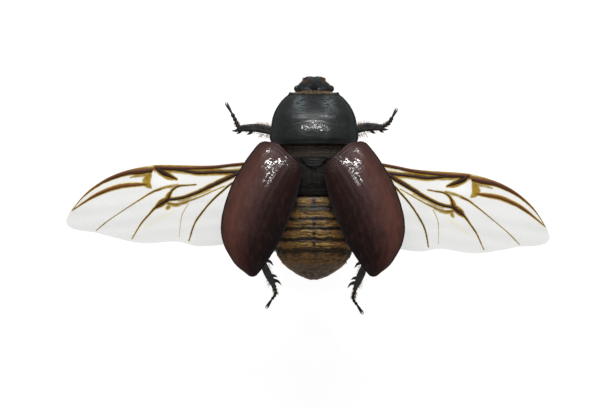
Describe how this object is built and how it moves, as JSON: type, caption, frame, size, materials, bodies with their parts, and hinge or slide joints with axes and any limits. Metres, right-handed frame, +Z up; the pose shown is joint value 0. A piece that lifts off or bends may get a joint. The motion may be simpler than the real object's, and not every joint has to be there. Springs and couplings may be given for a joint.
{
  "type": "european rhinoceros beetle",
  "caption": "Life-size female rhinoceros beetle in flight, wing cases open, veined hindwings spread and spiny legs out, held by a plain round display stand.",
  "frame": {"origin": "centre of the underside of the display stand's base", "axes": "+Z up; +Y the way the beetle faces; +X its right side, along the wingspan"},
  "size_m": [0.0831, 0.0415, 0.0315],
  "materials": {
    "thorax_black": "glossy near-black shell with fine punctures",
    "elytron_brown": "glossy dark red-brown shell with fine lengthwise rows of punctures",
    "abdomen_gold": "satin golden-brown plates with dark cross bands",
    "wing_membrane": "clear thin membrane with dark brown veins edged in amber",
    "leg_black": "glossy ridged black",
    "mouth_brown": "satin orange-brown",
    "eye_black": "polished black with fine facets",
    "stand_white": "satin white",
    "stand_steel": "drawn steel rod"
  },
  "bodies": {
    "root": {"prothorax": "thorax_black", "pterothorax": "thorax_black", "scutellum": "thorax_black", "head": "thorax_black", "abdomen": "abdomen_gold", "pygidium": "abdomen_gold", "eye_left": "eye_black", "eye_right": "eye_black", "labrum": "mouth_brown", "mandible_left": "mouth_brown", "mandible_right": "mouth_brown", "palp_left": "mouth_brown", "palp_right": "mouth_brown", "antenna_left": "mouth_brown", "antenna_right": "mouth_brown", "elytron_left": "elytron_brown", "elytron_right": "elytron_brown", "hindwing_left": "wing_membrane", "hindwing_right": "wing_membrane", "coxa_fore_left": "leg_black", "coxa_fore_right": "leg_black", "coxa_mid_left": "leg_black", "coxa_mid_right": "leg_black", "coxa_hind_left": "leg_black", "coxa_hind_right": "leg_black", "femur_fore_left": "leg_black", "femur_fore_right": "leg_black", "femur_mid_left": "leg_black", "femur_mid_right": "leg_black", "femur_hind_left": "leg_black", "femur_hind_right": "leg_black", "tibia_fore_left": "leg_black", "tibia_fore_right": "leg_black", "tibia_mid_left": "leg_black", "tibia_mid_right": "leg_black", "tibia_hind_left": "leg_black", "tibia_hind_right": "leg_black", "tarsus_fore_left": "leg_black", "tarsus_fore_right": "leg_black", "tarsus_mid_left": "leg_black", "tarsus_mid_right": "leg_black", "tarsus_hind_left": "leg_black", "tarsus_hind_right": "leg_black", "stand_base": "stand_white", "stand_rod": "stand_steel"}
  },
  "joints": []
}
